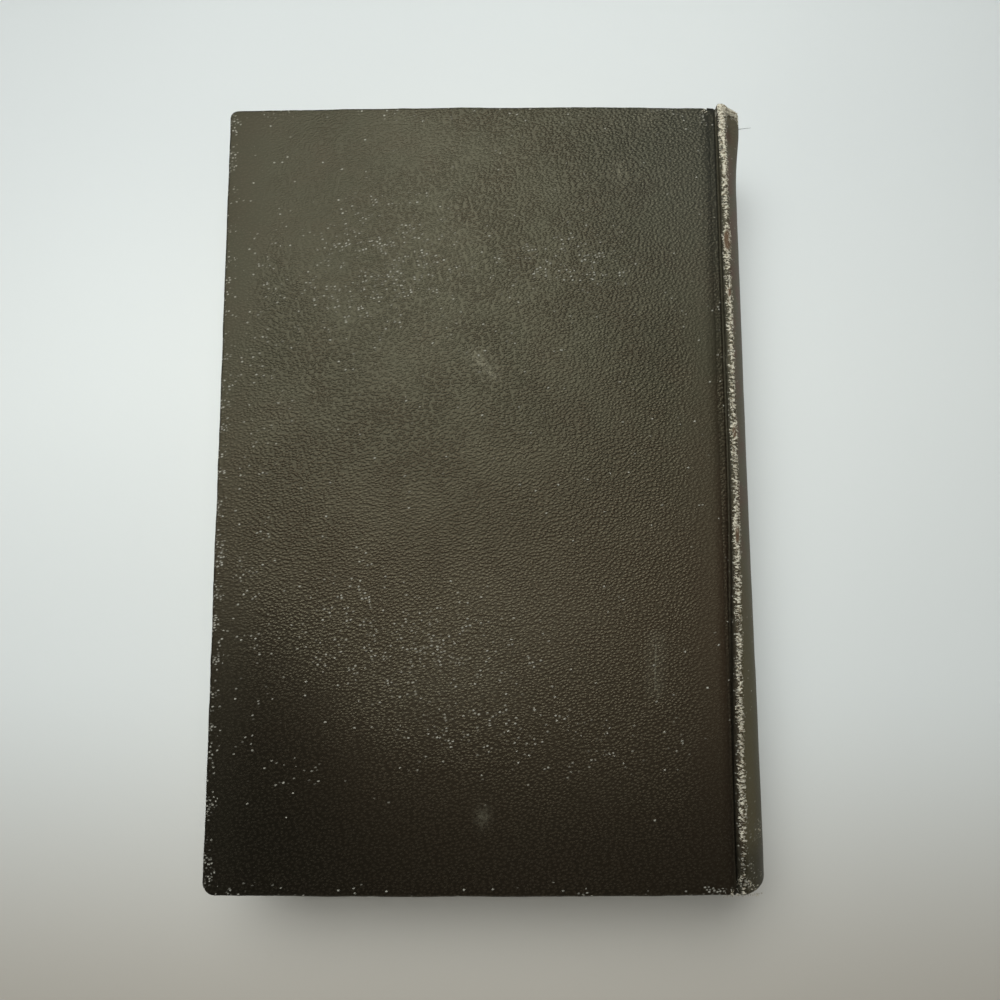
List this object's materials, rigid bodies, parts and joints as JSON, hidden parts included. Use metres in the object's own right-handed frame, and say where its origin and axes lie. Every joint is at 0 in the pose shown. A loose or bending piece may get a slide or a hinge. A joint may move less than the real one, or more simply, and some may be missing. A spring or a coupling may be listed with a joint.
{
  "type": "hardback book",
  "caption": "Closed case-bound book with dark olive cloth over boards, a rounded hollow spine, worn joints and covers that swing open on their grooves.",
  "frame": {"origin": "middle of the book in plan, on the surface it lies on", "axes": "+X from the fore edge to the spine, +Y from tail to head, +Z from the front cover it lies on up to the back cover"},
  "size_m": [0.134, 0.195, 0.03],
  "materials": {
    "cover_cloth": "satin",
    "page_paper": "matte",
    "endpaper": "matte",
    "binders_board": "matte",
    "mull_cloth": "matte",
    "kraft_paper": "matte",
    "band_cloth": "satin"
  },
  "bodies": {
    "block": {"text_block": "page_paper", "spine_mull": "mull_cloth", "spine_lining": "kraft_paper", "head_band": "band_cloth", "tail_band": "band_cloth", "back_flyleaf": "endpaper", "front_flyleaf": "endpaper", "spine_cloth": "cover_cloth", "spine_stiffener": "binders_board"},
    "back_cover": {"back_board": "binders_board", "back_cloth": "cover_cloth", "back_mull_flap": "mull_cloth", "back_pastedown": "endpaper"},
    "front_cover": {"front_board": "binders_board", "front_cloth": "cover_cloth", "front_mull_flap": "mull_cloth", "front_pastedown": "endpaper"}
  },
  "joints": [
    {"name": "back_cover_hinge", "type": "hinge", "parent": "block", "child": "back_cover", "pos_m": [0.0586, 0, 0.03], "axis": [0, 1, 0], "range_deg": [0, 180]},
    {"name": "front_cover_hinge", "type": "hinge", "parent": "block", "child": "front_cover", "pos_m": [0.0586, 0, 0], "axis": [0, -1, 0], "range_deg": [0, 180]}
  ]
}
